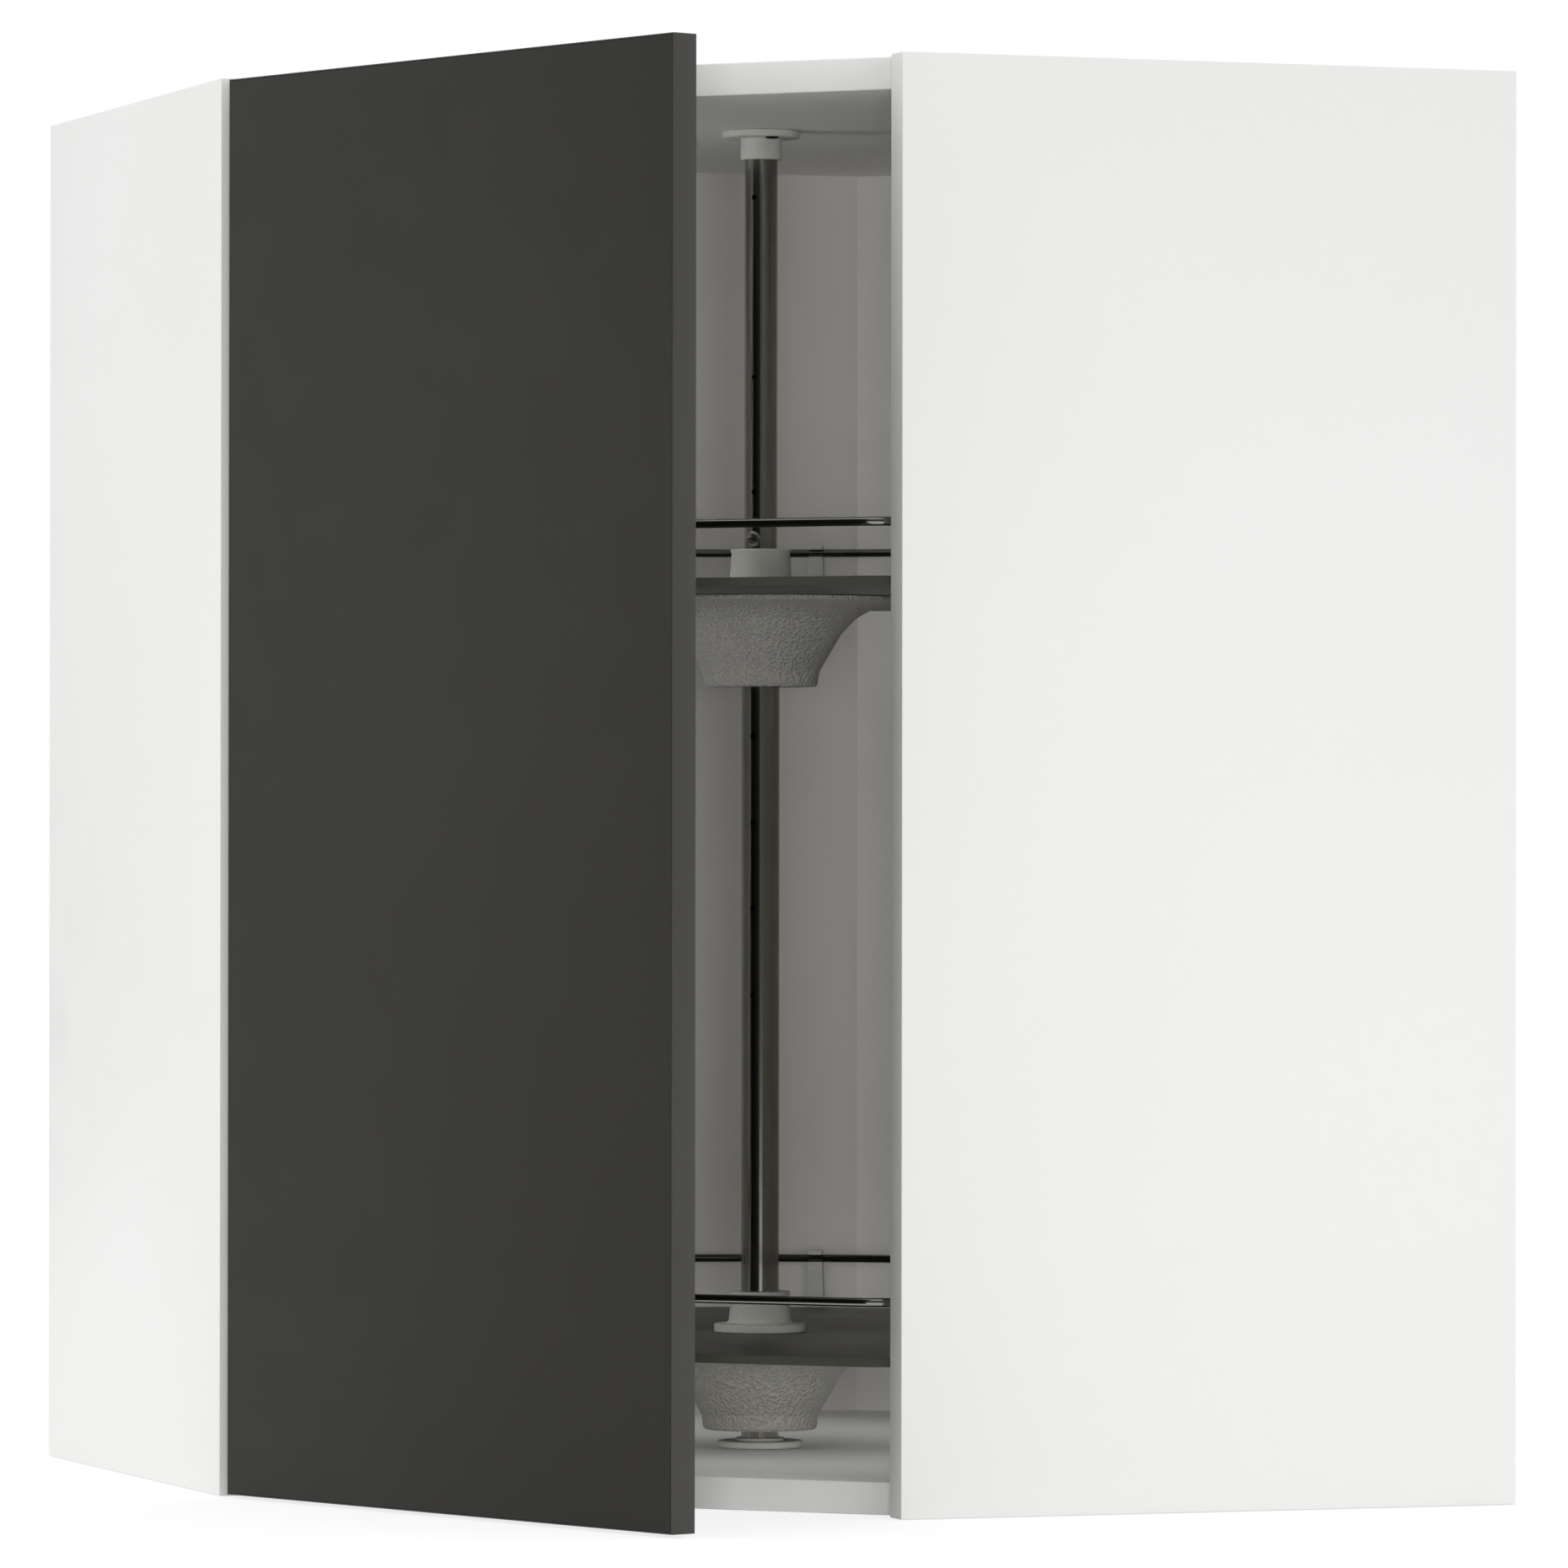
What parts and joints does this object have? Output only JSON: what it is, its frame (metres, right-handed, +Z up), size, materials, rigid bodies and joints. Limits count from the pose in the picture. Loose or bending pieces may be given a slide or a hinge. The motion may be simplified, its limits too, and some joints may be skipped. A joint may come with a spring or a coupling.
{
  "type": "corner carousel cabinet",
  "caption": "Cabinet for a room corner with a slanted flat door hinged on the left, and D-shaped trays with wire rims that turn on a central post.",
  "frame": {"origin": "on the carousel's axis, on the underside of the bottom panel", "axes": "+Z up along the carousel's axis; -Y out of the slanted front; +X towards the right side panel, seen from the room"},
  "size_m": [0.9404, 0.8093, 0.8],
  "materials": {
    "white_board": "satin white melamine foil on board",
    "back_board": "white foil on thin board",
    "dark_front": "matt dark grey foil on board",
    "smoked_plate": "glossy dark grey",
    "grained_plastic": "leather-grained pale grey moulding",
    "smooth_plastic": "smooth pale grey moulding",
    "post_steel": "bright plated tube",
    "wire_chrome": "bright plated wire",
    "hinge_steel": "nickel-plated pressed steel"
  },
  "bodies": {
    "cabinet": {"left_side_panel": "white_board", "right_side_panel": "white_board", "top_panel": "white_board", "bottom_panel": "white_board", "left_back_panel": "back_board", "right_back_panel": "back_board", "back_corner_panel": "back_board", "left_hanger_bracket": "hinge_steel", "right_hanger_bracket": "hinge_steel", "post_base": "smooth_plastic", "lower_post_tube": "post_steel", "upper_post_tube": "post_steel", "post_screw": "hinge_steel", "post_socket": "smooth_plastic", "lower_bearing_ring": "smooth_plastic", "upper_bearing_ring": "smooth_plastic", "lower_hinge_plate": "hinge_steel", "upper_hinge_plate": "hinge_steel", "lower_hinge_arm": "hinge_steel", "upper_hinge_arm": "hinge_steel"},
    "door": {"door_panel": "dark_front", "lower_hinge_cup": "hinge_steel", "upper_hinge_cup": "hinge_steel"},
    "hinge_cranks": {"lower_hinge_crank": "hinge_steel", "upper_hinge_crank": "hinge_steel"},
    "hinge_struts": {"lower_hinge_strut": "hinge_steel", "upper_hinge_strut": "hinge_steel"},
    "lower_tray": {"lower_tray_plate": "smoked_plate", "lower_rim_wire": "wire_chrome", "lower_hub_bowl": "grained_plastic", "lower_hub_collar": "smooth_plastic", "lower_rim_post_1": "smooth_plastic", "lower_rim_post_2": "smooth_plastic", "lower_rim_post_3": "smooth_plastic", "lower_rim_post_4": "smooth_plastic"},
    "upper_tray": {"upper_tray_plate": "smoked_plate", "upper_rim_wire": "wire_chrome", "upper_hub_bowl": "grained_plastic", "upper_hub_collar": "smooth_plastic", "upper_rim_post_1": "smooth_plastic", "upper_rim_post_2": "smooth_plastic", "upper_rim_post_3": "smooth_plastic", "upper_rim_post_4": "smooth_plastic"}
  },
  "joints": [
    {"name": "door_swing", "type": "hinge", "parent": "cabinet", "child": "door", "pos_m": [-0.2035, -0.26264, 0.4], "axis": [0, 0, -1], "range_deg": [-25, 70]},
    {"name": "hinge_crank_turn", "type": "hinge", "parent": "cabinet", "child": "hinge_cranks", "pos_m": [-0.188, -0.24394, 0.4], "axis": [0, 0, -1], "range_deg": [-25, 70]},
    {"name": "hinge_strut_turn", "type": "hinge", "parent": "hinge_cranks", "child": "hinge_struts", "pos_m": [-0.16726, -0.24987, 0.4], "axis": [0, 0, 1], "range_deg": [-25, 70]},
    {"name": "lower_tray_spin", "type": "hinge", "parent": "cabinet", "child": "lower_tray", "pos_m": [0, 0, 0.0852], "axis": [0, 0, 1], "range_deg": [-360, 360]},
    {"name": "upper_tray_spin", "type": "hinge", "parent": "cabinet", "child": "upper_tray", "pos_m": [0, 0, 0.5157], "axis": [0, 0, 1], "range_deg": [-360, 360]}
  ],
  "couplings": [
    {"joint": "hinge_crank_turn", "follows": "door_swing", "ratio": 1},
    {"joint": "hinge_strut_turn", "follows": "door_swing", "ratio": 1}
  ]
}
